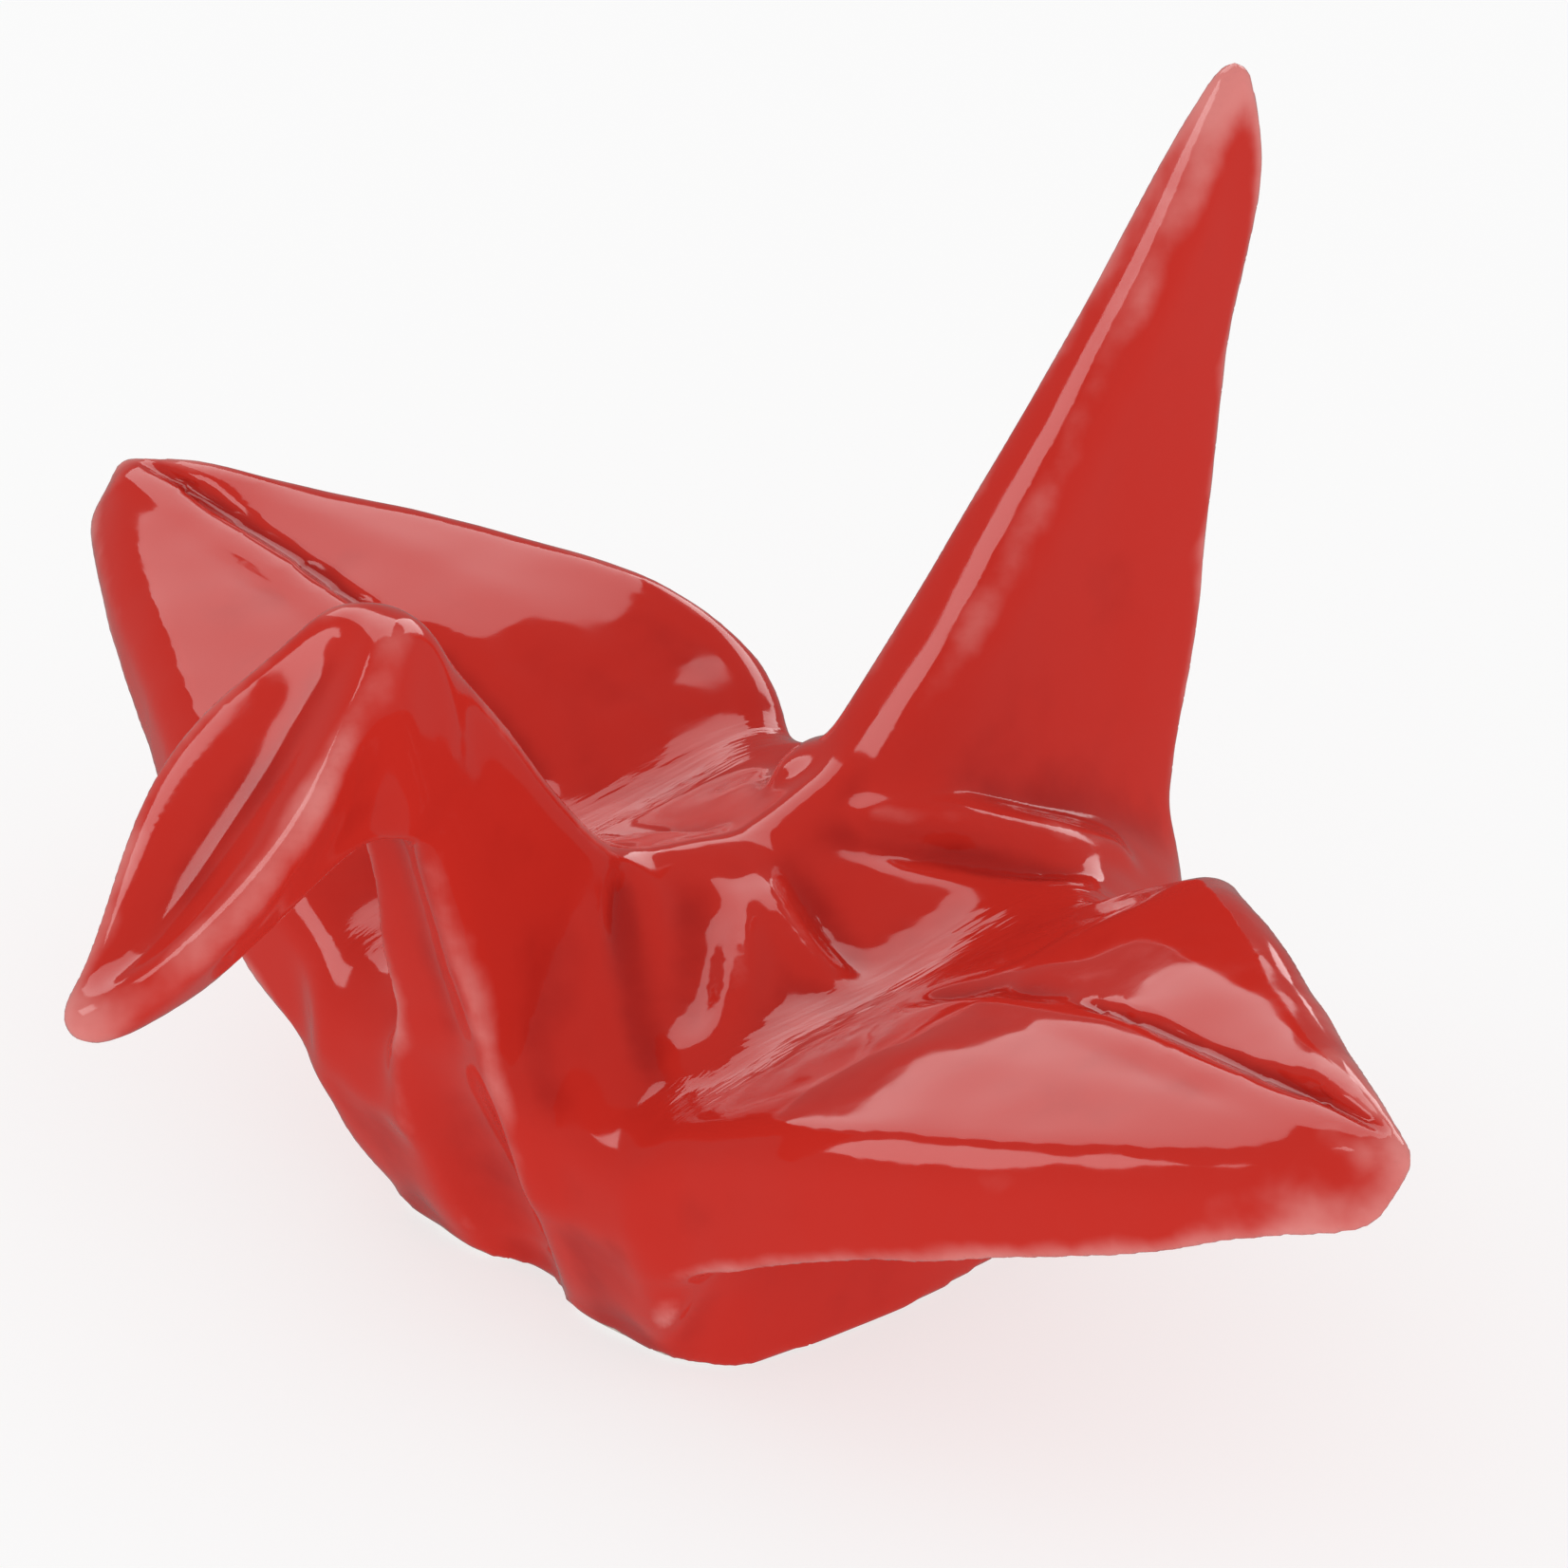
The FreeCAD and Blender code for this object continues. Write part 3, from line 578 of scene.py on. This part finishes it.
# How much each point stands out of the surface round it, from -1 in a fold to 1 on an edge.
sharpness = np.clip((soften(figure, 0.7) - figure) / 0.3, -1, 1)
corners = np.empty(len(shell.vertices) * 3, np.float32)
shell.vertices.foreach_get("co", corners)
corners = corners.reshape(-1, 3) / MM
spots = (corners - np.array([block[0][0], full_y[0], block[2][0]])) / CELL
spots = np.clip(spots, 0, np.array(figure.shape) - 1.001)
base = spots.astype(int)
part = spots - base
edge = np.zeros(len(spots))
for step in np.ndindex(2, 2, 2):
    weight = np.prod(np.where(step, part, 1 - part), axis=1)
    at = base + step
    edge += weight * sharpness[at[:, 0], at[:, 1], at[:, 2]]
shell.attributes.new("sharpness", "FLOAT", "POINT").data.foreach_set("value", edge.astype(np.float32))

glaze = bpy.data.materials.new("red_gloss_glaze")
glaze.use_nodes = True
nodes, links = glaze.node_tree.nodes, glaze.node_tree.links
shader = nodes["Principled BSDF"]
shader.inputs["IOR"].default_value = 1.5
shader.inputs["Specular IOR Level"].default_value = 0.35
place = nodes.new("ShaderNodeTexCoord")
sharp = nodes.new("ShaderNodeAttribute")
sharp.attribute_name = "sharpness"


def noise(scale, detail=3.0):
    node = nodes.new("ShaderNodeTexNoise")
    node.inputs["Scale"].default_value = scale
    node.inputs["Detail"].default_value = detail
    links.new(place.outputs["Object"], node.inputs["Vector"])
    return node.outputs["Fac"]


def remap(value, low, high, to_low=0.0, to_high=1.0):
    node = nodes.new("ShaderNodeMapRange")
    node.interpolation_type = "SMOOTHSTEP"
    for name, number in (("From Min", low), ("From Max", high), ("To Min", to_low), ("To Max", to_high)):
        node.inputs[name].default_value = number
    links.new(value, node.inputs["Value"])
    return node.outputs["Result"]


def combine(operation, first, second):
    node = nodes.new("ShaderNodeMath")
    node.operation = operation
    for socket, value in zip(node.inputs, (first, second)):
        if isinstance(value, (int, float)):
            socket.default_value = value
        else:
            links.new(value, socket)
    return node.outputs[0]


def blend_colour(share, first, second):
    node = nodes.new("ShaderNodeMix")
    node.data_type = "RGBA"
    links.new(share, node.inputs["Factor"])
    for socket, value in ((node.inputs["A"], first), (node.inputs["B"], second)):
        if isinstance(value, tuple):
            socket.default_value = value
        else:
            links.new(value, socket)
    return node.outputs["Result"]


# Full red; a deeper red for folds, partly pooled glaze and partly painted shade; a pale red for edges, partly
# thin glaze and partly painted highlight.
FULL_RED = (0.62, 0.028, 0.018, 1)
POOLED_GLAZE_AND_SHADE_RED = (0.45, 0.016, 0.011, 1)
THIN_GLAZE_AND_HIGHLIGHT_RED = (0.80, 0.25, 0.23, 1)
cloud = noise(330, 3)
thickness_and_painted_light = combine("ADD", sharp.outputs["Fac"], combine("MULTIPLY", combine("SUBTRACT", cloud, 0.5), 0.9))
# Painted shade in the folds and a painted highlight on the edges, led by the sharpness mask and broken up by
# random tone.
colour = blend_colour(remap(thickness_and_painted_light, -0.05, -0.75), FULL_RED, POOLED_GLAZE_AND_SHADE_RED)
colour = blend_colour(remap(thickness_and_painted_light, 0.36, 1.0), colour, THIN_GLAZE_AND_HIGHLIGHT_RED)
links.new(colour, shader.inputs["Base Color"])
links.new(remap(noise(900, 2), 0.3, 0.7, 0.06, 0.11), shader.inputs["Roughness"])
ripple = nodes.new("ShaderNodeBump")
ripple.inputs["Strength"].default_value = 0.25
ripple.inputs["Distance"].default_value = 0.00004
links.new(noise(520, 2), ripple.inputs["Height"])
# Brush marks run along the wing roots, in a band 7 to 9 mm out from the middle.
axes = nodes.new("ShaderNodeSeparateXYZ")
links.new(place.outputs["Object"], axes.inputs["Vector"])
aside = combine("ABSOLUTE", axes.outputs["Y"], 0.0)
band = combine("MULTIPLY", remap(aside, 0.0066, 0.0074), remap(aside, 0.0096, 0.0088))
band = combine("MULTIPLY", band, remap(axes.outputs["Z"], 0.0095, 0.0102))
strokes_at = nodes.new("ShaderNodeMapping")
strokes_at.inputs["Scale"].default_value = (0.10, 1.0, 0.5)
links.new(place.outputs["Object"], strokes_at.inputs["Vector"])
strokes = nodes.new("ShaderNodeTexNoise")
strokes.inputs["Scale"].default_value = 2600
strokes.inputs["Detail"].default_value = 2
links.new(strokes_at.outputs["Vector"], strokes.inputs["Vector"])
brushed = nodes.new("ShaderNodeBump")
brushed.inputs["Strength"].default_value = 0.6
brushed.inputs["Distance"].default_value = 0.00009
links.new(combine("MULTIPLY", strokes.outputs["Fac"], band), brushed.inputs["Height"])
links.new(ripple.outputs["Normal"], brushed.inputs["Normal"])
links.new(brushed.outputs["Normal"], shader.inputs["Normal"])
shell.materials.clear()
shell.materials.append(glaze)
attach(glaze_coat, "root")
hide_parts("glaze_coat")

# ---------------------------------------------------------------- studio
# White table inside a light tent.  A large softbox stands on the right-wing side, a bright one on
# the beak's side and another low behind the tail.

floor_mesh = bpy.data.meshes.new("studio_floor")
FLOOR_HALF = 2
floor_corners = [(x * FLOOR_HALF, y * FLOOR_HALF, 0) for x, y in ((-1, -1), (1, -1), (1, 1), (-1, 1))]
floor_mesh.from_pydata(floor_corners, [], [(0, 1, 2, 3)])
floor = bpy.data.objects.new("studio_floor", floor_mesh)
bpy.context.scene.collection.objects.link(floor)
paper = bpy.data.materials.new("white_paper")
paper.use_nodes = True
surface = paper.node_tree.nodes["Principled BSDF"]
for name, number in (("Base Color", (0.33, 0.33, 0.33, 1)), ("Emission Color", (1, 1, 1, 1)),
                     ("Emission Strength", 0.68), ("Roughness", 1.0), ("Specular IOR Level", 0.0)):
    surface.inputs[name].default_value = number
floor_mesh.materials.append(paper)
floor.visible_glossy = False


LIT_POINT = Vector((0, 0, 0.012))
SOFTBOX_AWAY = 0.5


def softbox(name, towards, size, radiance):
    """A flat lamp that faces the crane.  It shows in the glaze but adds no diffuse light."""
    light = bpy.data.lights.new(name, "AREA")
    light.shape = "RECTANGLE"
    light.size, light.size_y = size
    light.energy = radiance * math.pi * size[0] * size[1]
    thing = bpy.data.objects.new(name, light)
    thing.location = LIT_POINT + Vector(towards).normalized() * SOFTBOX_AWAY
    thing.rotation_euler = (LIT_POINT - thing.location).to_track_quat("-Z", "Y").to_euler()
    thing.visible_diffuse = False
    bpy.context.scene.collection.objects.link(thing)


# The softboxes are what the glaze mirrors; the even light of the tent does the rest.
softbox("softbox_behind", (-0.322, -0.586, 0.743), (0.50, 0.39), 2.4)
softbox("softbox_beak_side", (0.645, -0.43, 0.63), (0.22, 0.18), 4.0)
softbox("softbox_tail_side", (-0.89, -0.33, 0.31), (0.24, 0.18), 2.6)

world = bpy.data.worlds.new("light_tent")
world.use_nodes = True
tent, wires = world.node_tree.nodes, world.node_tree.links
direction = tent.new("ShaderNodeTexCoord")
height = tent.new("ShaderNodeSeparateXYZ")
wires.new(direction.outputs["Generated"], height.inputs["Vector"])
fade = tent.new("ShaderNodeMapRange")
for name, number in (("From Min", 0.0), ("From Max", 1.0), ("To Min", 1.05), ("To Max", 0.75)):
    fade.inputs[name].default_value = number
wires.new(height.outputs["Z"], fade.inputs["Value"])
ray = tent.new("ShaderNodeLightPath")
mirrored = tent.new("ShaderNodeMapRange")
for name, number in (("To Min", 1.0), ("To Max", 0.22)):
    mirrored.inputs[name].default_value = number
wires.new(ray.outputs["Is Glossy Ray"], mirrored.inputs["Value"])
strength = tent.new("ShaderNodeMath")
strength.operation = "MULTIPLY"
wires.new(fade.outputs["Result"], strength.inputs[0])
wires.new(mirrored.outputs["Result"], strength.inputs[1])
wires.new(strength.outputs[0], tent["Background"].inputs["Strength"])
tent["Background"].inputs["Color"].default_value = (1, 1, 1, 1)
bpy.context.scene.world = world

camera_data = bpy.data.cameras.new("camera")
camera_data.sensor_width = 36
camera_data.lens = 282.8
camera_data.clip_start = 0.01
camera = bpy.data.objects.new("camera", camera_data)
aim = Vector((-0.0045, 0, 0.0155))
azimuth, elevation = math.radians(140.5), math.radians(26.3)
back = Vector((math.sin(azimuth) * math.cos(elevation), -math.cos(azimuth) * math.cos(elevation),
               math.sin(elevation)))
camera_away = 0.420
camera.location = aim + back * camera_away
camera.rotation_euler = (aim - camera.location).to_track_quat("-Z", "Y").to_euler()
bpy.context.scene.collection.objects.link(camera)
bpy.context.scene.camera = camera
bpy.context.scene.view_settings.view_transform = "Standard"
